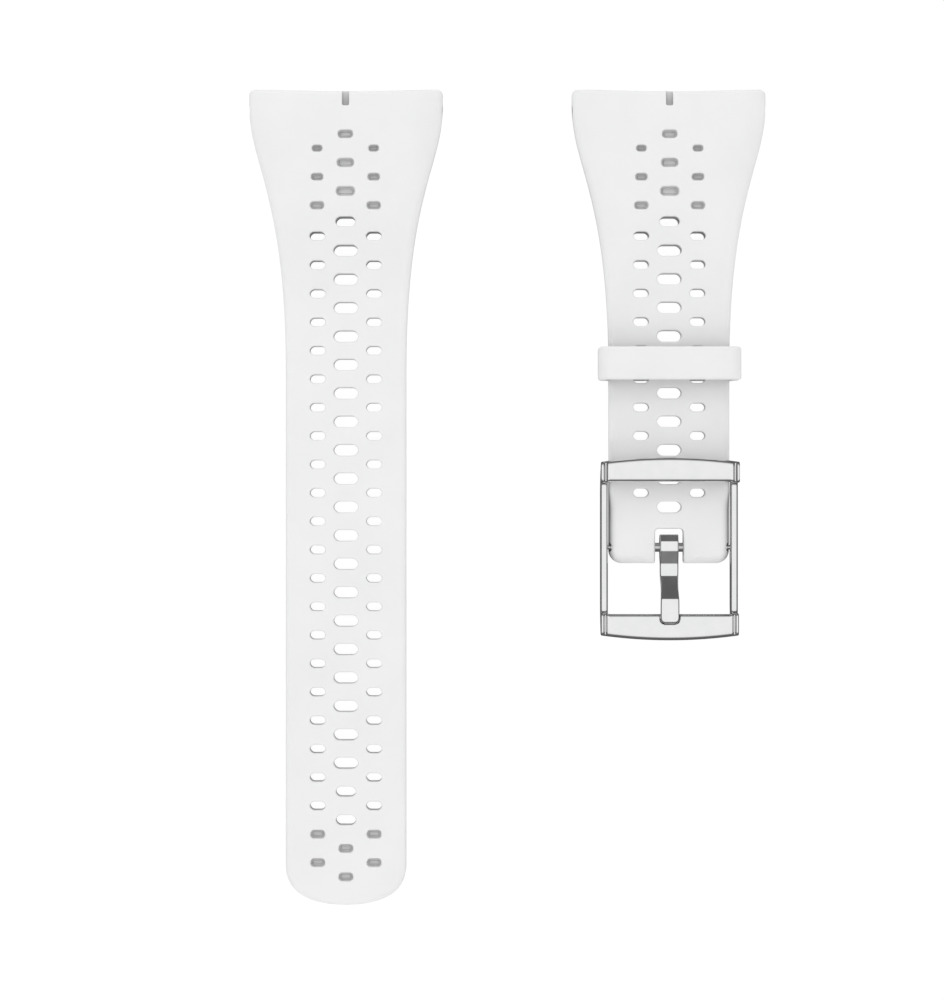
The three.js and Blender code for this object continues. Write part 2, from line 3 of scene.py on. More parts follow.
import bmesh
import bpy
import numpy as np
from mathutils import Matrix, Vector, geometry


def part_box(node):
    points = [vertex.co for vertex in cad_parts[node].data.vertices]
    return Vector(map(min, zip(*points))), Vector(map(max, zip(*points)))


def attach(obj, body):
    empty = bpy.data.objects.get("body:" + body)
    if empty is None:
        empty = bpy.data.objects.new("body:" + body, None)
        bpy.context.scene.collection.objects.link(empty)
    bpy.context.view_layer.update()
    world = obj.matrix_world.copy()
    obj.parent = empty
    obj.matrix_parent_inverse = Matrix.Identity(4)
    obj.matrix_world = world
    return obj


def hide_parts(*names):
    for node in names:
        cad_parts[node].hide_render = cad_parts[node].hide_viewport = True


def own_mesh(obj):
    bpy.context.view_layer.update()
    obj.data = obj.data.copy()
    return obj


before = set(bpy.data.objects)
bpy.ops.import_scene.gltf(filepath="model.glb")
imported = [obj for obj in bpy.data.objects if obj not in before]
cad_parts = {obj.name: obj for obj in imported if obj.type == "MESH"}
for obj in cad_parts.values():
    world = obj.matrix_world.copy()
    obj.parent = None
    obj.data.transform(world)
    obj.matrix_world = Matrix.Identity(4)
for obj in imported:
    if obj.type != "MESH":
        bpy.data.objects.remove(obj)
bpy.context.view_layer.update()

# The looks of a two-piece silicone wristband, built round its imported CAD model.
# Shapes are worked out in millimetres in the CAD frame, and put into meshes in metres.
MM = 0.001


def box_mm(node):
    """Lowest and highest corner of a CAD node, in millimetres."""
    low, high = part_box(node)
    return np.array(low) / MM, np.array(high) / MM


# ---- Sizes ----

LONG_LOW, LONG_HIGH = box_mm("long_strap")
SHORT_LOW, SHORT_HIGH = box_mm("short_strap")
KEEPER_LOW, KEEPER_HIGH = box_mm("keeper_loop")
FRAME_LOW, FRAME_HIGH = box_mm("buckle_frame")
TONGUE_LOW, TONGUE_HIGH = box_mm("buckle_tongue")
TUBE_LOW, TUBE_HIGH = box_mm("spring_bar_tube")
SPRING_LOW, SPRING_HIGH = box_mm("spring_bar_spring")
LUG_PIN_LOW, LUG_PIN_HIGH = box_mm("long_lug_pin")

LONG_X = (LONG_LOW[0] + LONG_HIGH[0]) / 2
SHORT_X = (SHORT_LOW[0] + SHORT_HIGH[0]) / 2
WATCH_END = LONG_HIGH[1]
LONG_TAIL = LONG_LOW[1]
SHORT_END = SHORT_LOW[1]
WIDE_HALF = (LONG_HIGH[0] - LONG_LOW[0]) / 2
WIDE_THICKNESS = LONG_HIGH[2]
END_THICKNESS = WIDE_THICKNESS - 1.0  # at the very end, where the lug recess opens
BAND_HALF = 10.05
BAND_THICKNESS = 2.8
KEEPER_LIFT = 1.0  # the short band lies this much higher, on its keeper
PIN_Y = (TUBE_LOW[1] + TUBE_HIGH[1]) / 2
PIN_Z = (TUBE_LOW[2] + TUBE_HIGH[2]) / 2
PIN_RADIUS = (TUBE_HIGH[2] - TUBE_LOW[2]) / 2
LUG_PIN_Y = (LUG_PIN_LOW[1] + LUG_PIN_HIGH[1]) / 2
LUG_PIN_Z = (LUG_PIN_LOW[2] + LUG_PIN_HIGH[2]) / 2
FIT_GAP = 0.06  # all round a pin in its bore

HOLE_PITCH = 4.743
COLUMN_OFFSET = 4.7
FIRST_HOLE = 22.2  # from the watch end to the first slot that goes through


# ---- Curves in a plane ----


def line(start, end, step=1.2):
    """Points from start up to, but not including, end."""
    start, end = np.array(start), np.array(end)
    count = max(1, round(np.linalg.norm(end - start) / step))
    return [start + (end - start) * i / count for i in range(count)]


def bezier(p0, p1, p2, p3, count):
    """Points of a cubic curve from p0 up to, but not including, p3."""
    points = []
    for i in range(count):
        t = i / count
        weights = ((1 - t) ** 3, 3 * t * (1 - t) ** 2, 3 * t * t * (1 - t), t**3)
        points.append(sum(w * np.array(p) for w, p in zip(weights, (p0, p1, p2, p3))))
    return points


def arc(centre, radius, start, end, count):
    """Points round centre from one angle in degrees to the other, both included."""
    angles = np.radians(np.linspace(start, end, count + 1))
    return [np.array(centre) + radius * np.array([math.cos(a), math.sin(a)]) for a in angles]


def mirrored_loop(right):
    """A counter-clockwise loop from its right half, which starts and ends on x = 0."""
    left = [np.array([-p[0], p[1]]) for p in reversed(right[1:-1])]
    loop = np.array(list(right) + left)
    ahead = np.roll(loop, -1, axis=0)
    area = np.sum(loop[:, 0] * ahead[:, 1] - ahead[:, 0] * loop[:, 1])
    return loop if area > 0 else loop[::-1]


def rounded_polygon(corners, radii, steps=4):
    """A counter-clockwise polygon with each corner turned into an arc."""
    loop = []
    count = len(corners)
    for i, corner in enumerate(corners):
        corner = np.array(corner, dtype=float)
        before = np.array(corners[i - 1]) - corner
        after = np.array(corners[(i + 1) % count]) - corner
        before /= np.linalg.norm(before)
        after /= np.linalg.norm(after)
        half_angle = math.acos(np.clip(before @ after, -1, 1)) / 2
        reach = radii[i] / math.tan(half_angle)
        middle = (before + after) / np.linalg.norm(before + after)
        centre = corner + middle * radii[i] / math.sin(half_angle)
        first = corner + before * reach - centre
        last = corner + after * reach - centre
        turn = math.atan2(first[0] * last[1] - first[1] * last[0], first @ last)
        for k in range(steps + 1):
            a = turn * k / steps
            c, s = math.cos(a), math.sin(a)
            loop.append(centre + np.array([c * first[0] - s * first[1], s * first[0] + c * first[1]]))
    return np.array(loop)


def inward(loop):
    """Unit normals that point into a counter-clockwise loop."""
    ahead = np.roll(loop, -1, axis=0) - loop
    ahead /= np.linalg.norm(ahead, axis=1, keepdims=True)
    along = ahead + np.roll(ahead, 1, axis=0)
    along /= np.linalg.norm(along, axis=1, keepdims=True)
    return np.stack([-along[:, 1], along[:, 0]], axis=1)


# ---- Meshes ----

WELD = 0.002  # vertices closer than this are one


class Shell:
    """Collects the vertices (mm) and faces of one piece."""

    def __init__(self):
        self.vertices = []
        self.faces = []

    def add(self, points):
        """Adds vertices and returns their numbers."""
        first = len(self.vertices)
        self.vertices.extend(tuple(point) for point in points)
        return list(range(first, len(self.vertices)))

    def ring(self, xy, z):
        z = np.broadcast_to(z, len(xy))
        return self.add((p[0], p[1], h) for p, h in zip(xy, z))

    def bridge(self, a, b):
        count = len(a)
        for i in range(count):
            j = (i + 1) % count
            self.faces.append((a[i], a[j], b[j], b[i]))

    def bridge_all(self, rings):
        for a, b in zip(rings, rings[1:]):
            self.bridge(a, b)

    def fill(self, outer, holes, height, step):
        """Fills between an outer ring and the rings of its holes with a surface at height(x, y)."""
        rings = [outer] + holes
        used = [i for ring in rings for i in ring]
        local = {index: k for k, index in enumerate(used)}
        flat = np.array([self.vertices[i][:2] for i in used])
        xs = np.arange(flat[:, 0].min(), flat[:, 0].max(), step)
        ys = np.arange(flat[:, 1].min(), flat[:, 1].max(), step)
        grid = np.array([(x + (k % 2) * step / 2, y) for k, y in enumerate(ys) for x in xs])
        gap = np.sqrt(((grid[:, None, :] - flat[None, :, :]) ** 2).sum(axis=2)).min(axis=1)
        grid = grid[gap > step * 0.45]
        points = [Vector(p) for p in np.concatenate([flat, grid])]
        loops = [[local[i] for i in ring] for ring in rings]
        found = geometry.delaunay_2d_cdt(points, [], loops, 1, 1e-6)
        positions, _, triangles, sources, _, owners = found  # an owner is the loop that holds a triangle
        index = {}
        for k, source in enumerate(sources):
            if source and source[0] < len(used):
                index[k] = used[source[0]]
        for triangle, owner in zip(triangles, owners):
            if list(owner) != [0]:
                continue
            for k in triangle:
                if k not in index:
                    x, y = positions[k]
                    index[k] = len(self.vertices)
                    self.vertices.append((x, y, float(height(x, y))))
            self.faces.append(tuple(index[k] for k in triangle))

    def make(self, name, offset_x=0.0):
        mesh = bpy.data.meshes.new(name)
        scaled = [((x + offset_x) * MM, y * MM, z * MM) for x, y, z in self.vertices]
        mesh.from_pydata(scaled, [], self.faces)
        return finished(name, mesh)


def finished(name, mesh):
    """Cleans a mesh, turns its faces outwards and puts it in the scene."""
    work = bmesh.new()
    work.from_mesh(mesh)
    bmesh.ops.remove_doubles(work, verts=work.verts, dist=WELD * MM)
    bmesh.ops.recalc_face_normals(work, faces=work.faces)
    work.to_mesh(mesh)
    work.free()
    piece = bpy.data.objects.new(name, mesh)
    bpy.context.collection.objects.link(piece)
    return piece


def cut(piece, cutters):
    """Cuts the cutters out of a piece and removes them."""
    for cutter in cutters:
        change = piece.modifiers.new("cut", "BOOLEAN")
        change.operation = "DIFFERENCE"
        change.solver = "EXACT"
        change.object = cutter
    depsgraph = bpy.context.evaluated_depsgraph_get()
    mesh = bpy.data.meshes.new_from_object(piece.evaluated_get(depsgraph))
    piece.modifiers.clear()
    piece.data = mesh
    for cutter in cutters:
        bpy.data.objects.remove(cutter)


def smooth(piece, angle=35):
    """Smooth shading, with sharp edges where faces meet at more than the angle."""
    piece.data.shade_smooth()
    piece.data.set_sharp_from_angle(angle=math.radians(angle))


def turned(name, profile, y, z, offset_x=0.0, sides=48):
    """A turned piece on an axis along X. The profile holds (x, radius) pairs and may be a closed loop."""
    work = bmesh.new()
    rings = []
    for x, radius in profile:
        if radius == 0:
            rings.append([work.verts.new(((x + offset_x) * MM, y * MM, z * MM))])
            continue
        ring = []
        for k in range(sides):
            angle = 2 * math.pi * k / sides
            point = (x + offset_x, y + radius * math.cos(angle), z + radius * math.sin(angle))
            ring.append(work.verts.new(Vector(point) * MM))
        rings.append(ring)
    pairs = list(zip(rings, rings[1:]))
    if len(rings[0]) > 1:
        pairs.append((rings[-1], rings[0]))
    for a, b in pairs:
        for k in range(sides):
            j = (k + 1) % sides
            corners = [a[k % len(a)], a[j % len(a)], b[j % len(b)], b[k % len(b)]]
            corners = list(dict.fromkeys(corners))
            if len(corners) > 2:
                work.faces.new(corners)
    mesh = bpy.data.meshes.new(name)
    work.to_mesh(mesh)
    work.free()
    return finished(name, mesh)


# ---- Solids from a distance function ----


def smooth_max(a, b, k):
    """The larger of two distances, with the edge between them rounded."""
    h = np.clip(1 - np.abs(a - b) / k, 0, None)
    return np.maximum(a, b) + h * h * k / 4


def smooth_min(a, b, k):
    return -smooth_max(-a, -b, k)


def polygon_distance(u, v, corners):
    """Signed distance of the points u, v to a polygon, negative inside."""
    nearest = np.full(u.shape, 1e9)
    inside = np.zeros(u.shape, dtype=bool)
    for (u0, v0), (u1, v1) in zip(corners, np.roll(corners, -1, axis=0)):
        du, dv = u1 - u0, v1 - v0
        t = np.clip(((u - u0) * du + (v - v0) * dv) / (du * du + dv * dv), 0, 1)
        nearest = np.minimum(nearest, (u - u0 - t * du) ** 2 + (v - v0 - t * dv) ** 2)
        if dv != 0:
            crosses = (v0 > v) != (v1 > v)
            inside ^= crosses & (u < u0 + (v - v0) * du / dv)
    return np.where(inside, -1, 1) * np.sqrt(nearest)


CELL_CORNERS = [(i, j, k) for i in (0, 1) for j in (0, 1) for k in (0, 1)]


def net_points(values, cells):
    """One point in each cell: the middle of where the surface crosses the cell's edges, in cells."""
    total = np.zeros((len(cells), 3))
    weight = np.zeros(len(cells))
    for a in CELL_CORNERS:
        for axis in range(3):
            if a[axis]:
                continue
            b = tuple(c + (i == axis) for i, c in enumerate(a))
            va = values[tuple((cells + a).T)]
            vb = values[tuple((cells + b).T)]
            hit = (va < 0) != (vb < 0)
            t = np.where(hit, va / np.where(hit, va - vb, 1), 0)
            crossing = cells + np.array(a) + t[:, None] * (np.array(b) - a)
            total += crossing * hit[:, None]
            weight += hit
    return total / weight[:, None]


def settle(points, distance, cell):
    """Moves the points onto the surface, in three steps down the distance's slope."""
    nudge = 0.01 * cell
    reach = 0.4 * cell
    for _ in range(3):
        here = distance(*points.T)
        slope = np.empty_like(points)
        for axis in range(3):
            moved = points.copy()
            moved[:, axis] += nudge
            slope[:, axis] = (distance(*moved.T) - here) / nudge
        step = slope * (here / np.maximum((slope**2).sum(axis=1), 0.05))[:, None]
        points -= np.clip(step, -reach, reach)


def net_faces(here, ahead, axis, number):
    """A quad round each grid edge along an axis that the surface crosses."""
    u, v = [i for i in range(3) if i != axis]
    one = np.eye(3, dtype=int)
    crossing = np.argwhere(here != ahead)
    crossing = crossing[(crossing[:, u] > 0) & (crossing[:, v] > 0)]
    around = [crossing - one[u] - one[v], crossing - one[v], crossing, crossing - one[u]]
    quads = np.stack([number[tuple(c.T)] for c in around], axis=1)
    return quads[(quads >= 0).all(axis=1)].tolist()


def from_distance(name, distance, low, high, cell, offset_x=0.0):
    """The surface where distance(x, y, z) is 0, as a net of quads whose corners lie on it."""
    low, high = np.array(low) - 2 * cell, np.array(high) + 2 * cell
    counts = np.ceil((high - low) / cell).astype(int)
    axes = [low[i] + cell * np.arange(counts[i]) for i in range(3)]
    values = distance(*np.meshgrid(*axes, indexing="ij"))
    solid = values < 0
    size = [n - 1 for n in counts]

    def part(corner):
        return solid[tuple(slice(c, c + n) for c, n in zip(corner, size))]

    inside = sum(part(c).astype(int) for c in CELL_CORNERS)
    cells = np.argwhere((inside > 0) & (inside < len(CELL_CORNERS)))
    number = np.full(size, -1)
    number[tuple(cells.T)] = np.arange(len(cells))
    points = low + cell * net_points(values, cells)
    settle(points, distance, cell)
    shell = Shell()
    shell.vertices = points.tolist()
    for axis in range(3):
        ahead = tuple(int(i == axis) for i in range(3))
        shell.faces += net_faces(part((0, 0, 0)), part(ahead), axis, number)
    return shell.make(name, offset_x)


# ---- The straps ----

FLARE_TOP = WATCH_END - 2.3
FLARE_FOOT = WATCH_END - 47.2
FLARE = (
    (WIDE_HALF, FLARE_TOP),
    (WIDE_HALF, FLARE_TOP - 10.7),
    (BAND_HALF, FLARE_FOOT + 30.7),
    (BAND_HALF, FLARE_FOOT),
)
FLARE_POINTS = np.array(bezier(*FLARE, 60) + [np.array(FLARE[3])])[::-1]

BAND_ENDS = WATCH_END - 36
WIDE_STARTS = WATCH_END - 19
SLOPE_STARTS = WATCH_END - 8
SHOULDER_WIDTH = 5.6
SHOULDER_DROP = 1.8
BUCKLED_LENGTH = 9.0  # the short strap's end is softly domed over this length
BUCKLED_BLEND = 4.0  # and the dome fades out over this much more
BUCKLED_DROP = 0.65
BUCKLED_SIDE = 3.2  # how far in the dome falls from each side
BUCKLED_TIP = 2.4  # and from the end
EDGE_RADIUS = 0.7
BUCKLED_EDGE = 1.2
TONGUE_SLOT_EDGE = 0.28
UNDER_RADIUS = 0.35
SLOT_EDGE = 0.2
HOLD = 0.12  # a narrow flat border beside each rounded edge keeps the faces' shading even


def half_width(y):
    return np.interp(y, FLARE_POINTS[:, 1], FLARE_POINTS[:, 0])


def eased(t):
    t = np.clip(t, 0, 1)
    return t * t * (3 - 2 * t)


def in_buckle(y):
    """1 on the short strap's end in the buckle, and 0 on the rest of it."""
    return 1 - eased((y - SHORT_END - BUCKLED_LENGTH) / BUCKLED_BLEND)


def strap_top(x, y, lift):
    """Height of a strap's outer face: even in the band, thicker over the flare, with shoulders.
    Only the short strap is lifted, and it falls off towards its end in the buckle."""
    rise = eased((y - BAND_ENDS) / (WIDE_STARTS - BAND_ENDS))
    level = (lift + BAND_THICKNESS) * (1 - rise) + WIDE_THICKNESS * rise
    slope = np.clip((y - SLOPE_STARTS) / (WATCH_END - SLOPE_STARTS), 0, 1)
    level = level - (WIDE_THICKNESS - END_THICKNESS) * slope**2
    half = half_width(y)
    flare = (half - BAND_HALF) / (WIDE_HALF - BAND_HALF)
    width = np.maximum(SHOULDER_WIDTH * flare, 0.01)
    near = np.clip(1 - (half - np.abs(x)) / width, 0, 1)
    level = level - SHOULDER_DROP * flare * near**2
    if lift == 0:
        return level
    side = np.clip(1 - (BAND_HALF - np.abs(x)) / BUCKLED_SIDE, 0, 1)
    end = np.clip(1 - (y - SHORT_END) / BUCKLED_TIP, 0, 1)
    return level - BUCKLED_DROP * np.maximum(in_buckle(y) * side**2, end**2)


def strap_bottom(y, lift):
    return lift * (1 - eased((y - BAND_ENDS) / (WIDE_STARTS - BAND_ENDS)))


def watch_end_half():
    """The right half of the outline, from the middle of the hollowed end down to the band."""
    corner = 0.9
    hollow = 0.4
    rise = 0.13
    end = WATCH_END - hollow
    corner_start = (WIDE_HALF - corner, WATCH_END)
    corner_end = (WIDE_HALF, WATCH_END - corner)
    pull = 0.55 * corner  # makes the corner a quarter circle
    points = bezier((0, end), (WIDE_HALF / 3, end), (WIDE_HALF * 0.65, end + rise), corner_start, 14)
    points += bezier(
        corner_start, (WIDE_HALF - corner + pull, WATCH_END),
        (WIDE_HALF, WATCH_END - corner + pull), corner_end, 6,
    )
    points += line(corner_end, FLARE[0], 0.7)
    return points + bezier(*FLARE, 44)


def long_outline():
    """The outline with its rounded tail, and the edge radius at each of its points."""
    tail = 6.7
    fullness = 0.7
    side_end = (BAND_HALF, LONG_TAIL + tail)
    points = watch_end_half() + line(FLARE[3], side_end, 1.5)
    points += bezier(
        side_end, (BAND_HALF, LONG_TAIL + tail * (1 - fullness)),
        (BAND_HALF * (1 - fullness) * 2, LONG_TAIL), (0, LONG_TAIL), 26,
    )
    loop = mirrored_loop(points + [np.array([0, LONG_TAIL])])
    return loop, np.full(len(loop), EDGE_RADIUS)


SLOT_HALF = 2.35  # the slot that the tongue turns in
SLOT_MOUTH = 0.35  # the radius at its mouth
SLOT_DEEP = PIN_Y + 3.1


def short_outline():
    """The outline with the tongue slot, and the edge radius at each of its points."""
    corner = 2.2
    slot_corner = 0.6
    blend = 2.4  # along the end, from the slot's sharper edge to the full one
    points = watch_end_half() + line(FLARE[3], (BAND_HALF, SHORT_END + corner), 1.0)
    points += arc((BAND_HALF - corner, SHORT_END + corner), corner, 0, -90, 10)
    points += line((BAND_HALF - corner, SHORT_END), (SLOT_HALF + SLOT_MOUTH, SHORT_END), 0.35)[1:]
    points += arc((SLOT_HALF + SLOT_MOUTH, SHORT_END + SLOT_MOUTH), SLOT_MOUTH, -90, -180, 4)
    points += line((SLOT_HALF, SHORT_END + SLOT_MOUTH), (SLOT_HALF, SLOT_DEEP - slot_corner), 0.6)[1:]
    points += arc((SLOT_HALF - slot_corner, SLOT_DEEP - slot_corner), slot_corner, 0, 90, 5)
    points += line((SLOT_HALF - slot_corner, SLOT_DEEP), (0, SLOT_DEEP), 0.5)[1:]
    loop = mirrored_loop(points + [np.array([0, SLOT_DEEP])])
    across, along = np.abs(loop[:, 0]), loop[:, 1]
    radius = EDGE_RADIUS + (BUCKLED_EDGE - EDGE_RADIUS) * in_buckle(along)
    from_slot = eased((across - SLOT_HALF - SLOT_MOUTH) / blend)
    near_slot = (across < SLOT_HALF + 3) & (along < SLOT_DEEP + 1)
    eased_radius = TONGUE_SLOT_EDGE + (radius - TONGUE_SLOT_EDGE) * from_slot
    return loop, np.where(near_slot, eased_radius, radius)


# Each slot's and pocket's width and height.
MIDDLE_SLOT = (4.5, 1.85)
MIDDLE_END_SLOT = (3.7, 1.65)
SIDE_SLOT = (2.9, 1.4)
TAIL_POCKET = (2.4, 1.4)
MIDDLE_POCKETS = ((3.1, 1.55), (2.8, 1.45), (2.5, 1.35))
SIDE_POCKETS = ((2.3, 1.3), (2.0, 1.2), (1.7, 1.1))
POCKET_DEPTH = 1.1
POCKET_TAPER = 0.15
POCKET_ROOT = 0.1  # the radius at the foot of its walls, and the height of its raised floor
POCKET_SHIFT = 0.3  # the pockets stand this much further from the first slot
LONG_SLOTS = 22  # through slots in the middle column
LONG_TAIL_POCKETS = 2
SHORT_SLOTS = 11


def slot_loop(size, x, y):
    """A slot with bluntly pointed ends, all corners well rounded."""
    half, tall = size[0] / 2, size[1] / 2
    flat = half - 0.85 * tall
    corners = [(half, 0), (flat, tall), (-flat, tall), (-half, 0), (-flat, -tall), (flat, -tall)]
    radii = [0.75 * tall, tall, tall] * 2
    return rounded_polygon(corners, radii, 3) + np.array([x, y])


def pocket_loop(size, x, y):
    half, tall = size[0] / 2, size[1] / 2
    corners = [(half, tall), (-half, tall), (-half, -tall), (half, -tall)]
    return rounded_polygon(corners, [0.85 * tall] * 4, 5) + np.array([x, y])


def slot_places(through_count, tail_rows):
    """The through slots and the pockets, as (size, x, y) lists. A side column has one slot fewer."""
    through, pockets = [], []
    for side in (0, -1, 1):
        fewer = abs(side)
        size = SIDE_SLOT if side else MIDDLE_SLOT
        top_pockets = SIDE_POCKETS if side else MIDDLE_POCKETS
        x = side * COLUMN_OFFSET
        first = WATCH_END - FIRST_HOLE - fewer * HOLE_PITCH / 2
        count = through_count - fewer
        for i, pocket in enumerate(top_pockets):
            pockets.append((pocket, x, first + (i + 1) * HOLE_PITCH + POCKET_SHIFT))
        for i in range(count):
            ends = side == 0 and (i == 0 or (tail_rows and i >= count - 2))
            through.append((MIDDLE_END_SLOT if ends else size, x, first - i * HOLE_PITCH))
        for i in range(count, count + tail_rows):
            pockets.append((TAIL_POCKET, x, first - i * HOLE_PITCH))
    return through, pockets


def rounded_rim(shell, loop, radius, height, steps, side, up):
    """Rings of an edge rounded by radius, from the face towards the wall. side is 1 for the outline
    of a face and -1 for a hole in it, and up is 1 for a top face and -1 for an underside."""
    normal = inward(loop) * side
    rings = []
    offsets = [(radius + HOLD, 0 * radius)]
    for k in range(steps + 1):
        angle = math.pi / 2 * k / steps
        offsets.append((radius * (1 - math.sin(angle)), radius * (1 - math.cos(angle))))
    for away, drop in offsets:
        moved = loop + normal * np.reshape(away, (-1, 1))
        rings.append(shell.ring(moved, height(moved[:, 0], moved[:, 1]) - up * drop))
    return rings


def pocket_rings(shell, pocket, floor):
    """Rings down a pocket's tapered wall, round its foot, and up to the raised middle of its floor."""
    normal = inward(pocket)
    rings = []
    for angle in np.radians((0, 45, 90)):
        wall = pocket + normal * (POCKET_TAPER + POCKET_ROOT * (1 - math.cos(angle)))
        rings.append(shell.ring(wall, floor + POCKET_ROOT * (1 - math.sin(angle))))
    rings.append(shell.ring(pocket + normal * (POCKET_TAPER + 2 * POCKET_ROOT), floor))
    rings.append(shell.ring(pocket + normal * (POCKET_TAPER + 3 * POCKET_ROOT), floor + POCKET_ROOT))
    return rings


def strap(name, outline, through_count, tail_rows, lift, offset_x):
    """A strap with its slots and pockets, before its watch end is cut."""
    shell = Shell()
    loop, radius = outline

    def top(x, y):
        return strap_top(x, y, lift)

    def bottom(x, y):
        return strap_bottom(y, lift)

    upper = rounded_rim(shell, loop, radius, top, 5, 1, 1)
    lower = rounded_rim(shell, loop, np.full(len(loop), UNDER_RADIUS), bottom, 3, 1, -1)
    shell.bridge_all(upper + lower[::-1])
    top_holes, bottom_holes = [], []
    through, pockets = slot_places(through_count, tail_rows)
    for size, x, y in through:
        slot = slot_loop(size, x, y)
        above = rounded_rim(shell, slot, np.full(len(slot), SLOT_EDGE), top, 3, -1, 1)
        below = rounded_rim(shell, slot, np.full(len(slot), SLOT_EDGE / 2), bottom, 2, -1, -1)
        shell.bridge_all(above + below[::-1])
        top_holes.append(above[0])
        bottom_holes.append(below[0])
    for size, x, y in pockets:
        pocket = pocket_loop(size, x, y)
        above = rounded_rim(shell, pocket, np.full(len(pocket), SLOT_EDGE), top, 3, -1, 1)
        below = pocket_rings(shell, pocket, float(top(x, y)) - POCKET_DEPTH)
        shell.bridge_all(above + below)
        shell.faces.append(tuple(below[-1]))
        top_holes.append(above[0])
    shell.fill(upper[0], top_holes, top, 1.1)
    shell.fill(lower[0], bottom_holes, bottom, 1.6)
    return shell.make(name, offset_x)


def block(name, low, high, corner, offset_x):
    """A block cutter with its upright edges rounded."""
    x0, y0, z0 = low
    x1, y1, z1 = high
    loop = rounded_polygon([(x1, y1), (x0, y1), (x0, y0), (x1, y0)], [corner] * 4)
    shell = Shell()
    rings = [shell.ring(loop, z0), shell.ring(loop, z1)]
    shell.bridge(*rings)
    shell.faces += [tuple(rings[0]), tuple(rings[1])]
    return shell.make(name, offset_x)


RECESS_HALF = 9.0  # the recess for the watch's lug
RECESS_LENGTH = 7.0
RECESS_HEIGHT = 2.6
NOTCH_HALF = 0.6  # the notch in the middle of the watch end
NOTCH_LENGTH = 2.9
NOTCH_FLOOR = 3.4
LUG_BORE = 1.25
PAST = 3.0  # how far a cutter runs past the faces that it opens


def bore_cutter(name, radius, y, z, offset_x):
    """A cutter for a bore right across a strap."""
    end = 30
    return turned(name, [(-end, 0), (-end, radius), (end, radius), (end, 0)], y, z, offset_x)


def watch_end_cutters(offset_x):
    recess_low = (-RECESS_HALF, WATCH_END - RECESS_LENGTH, -1)
    recess = block("recess", recess_low, (RECESS_HALF, WATCH_END + PAST, RECESS_HEIGHT), 0.5, offset_x)
    notch_low = (-NOTCH_HALF, WATCH_END - NOTCH_LENGTH, NOTCH_FLOOR)
    notch_high = (NOTCH_HALF, WATCH_END + PAST, WIDE_THICKNESS + PAST)
    notch = block("notch", notch_low, notch_high, 0.25, offset_x)
    return [recess, notch, bore_cutter("lug_bore", LUG_BORE, LUG_PIN_Y, LUG_PIN_Z, offset_x)]


def long_strap():
    piece = strap("silicone_long_strap", long_outline(), LONG_SLOTS, LONG_TAIL_POCKETS, 0.0, LONG_X)
    cut(piece, watch_end_cutters(LONG_X))
    return piece


def short_strap():
    piece = strap("silicone_short_strap", short_outline(), SHORT_SLOTS, 0, KEEPER_LIFT, SHORT_X)
    pin_bore = bore_cutter("pin_bore", PIN_RADIUS + FIT_GAP, PIN_Y, PIN_Z, SHORT_X)
    cut(piece, watch_end_cutters(SHORT_X) + [pin_bore])
    return piece


# ---- Keeper ----

KEEPER_FLANK = 1.5  # the walls at its sides
KEEPER_ROOF = 1.15  # over the strap
KEEPER_BASE = 0.8  # under it
KEEPER_OUTER_RADIUS = 2.0
KEEPER_INNER_RADIUS = 0.7
KEEPER_EDGE = 0.42
KEEPER_CROWN = 0.06  # the outer face is a little fuller in its middle


def fine_sides(outer, inner, step):
    """Adds matching points along the straight sides of two loops."""
    new_outer, new_inner = [], []
    for k in range(len(outer)):
        o0, o1 = outer[k], outer[(k + 1) % len(outer)]
        i0, i1 = inner[k], inner[(k + 1) % len(inner)]
        count = max(1, round(np.linalg.norm(o1 - o0) / step))
        for n in range(count):
            new_outer.append(o0 + (o1 - o0) * n / count)
            new_inner.append(i0 + (i1 - i0) * n / count)
    return np.array(new_outer), np.array(new_inner)


def keeper_loops():
    """The keeper's outer and inner outline, as (x, z)."""
    half = (KEEPER_HIGH[0] - KEEPER_LOW[0]) / 2
    top = KEEPER_HIGH[2]
    outer = [(half, 0), (half, top), (-half, top), (-half, 0)]
    half -= KEEPER_FLANK
    top -= KEEPER_ROOF
    inner = [(half, KEEPER_BASE), (half, top), (-half, top), (-half, KEEPER_BASE)]
    steps = 10
    outer = rounded_polygon(outer, [KEEPER_OUTER_RADIUS] * 4, steps)
    inner = rounded_polygon(inner, [KEEPER_INNER_RADIUS] * 4, steps)
    return fine_sides(outer, inner, 1.0)


def keeper():
    """A band bent to a loop: even walls with soft edges all round."""
    outer, inner = keeper_loops()
    thick = np.linalg.norm(outer - inner, axis=1, keepdims=True)
    middle = (KEEPER_LOW[1] + KEEPER_HIGH[1]) / 2
    depth = (KEEPER_HIGH[1] - KEEPER_LOW[1]) / 2
    steps = 5
    shell = Shell()
    rings = []
    for corner, (side, end) in enumerate(((1, 1), (-1, 1), (-1, -1), (1, -1))):
        for k in range(steps + 1):
            angle = math.pi / 2 * (corner + k / steps)
            along = end * (depth - KEEPER_EDGE) + KEEPER_EDGE * math.sin(angle)
            out = side * (thick / 2 - KEEPER_EDGE) + KEEPER_EDGE * math.cos(angle)
            if side > 0:
                out = out - KEEPER_CROWN * (along / depth) ** 2
            points = (outer + inner) / 2 + (outer - inner) / thick * out
            rings.append(shell.add((x, middle + along, z) for x, z in points))
    shell.bridge_all(rings + rings[:1])
    return shell.make("silicone_keeper", SHORT_X)


# ---- Buckle ----

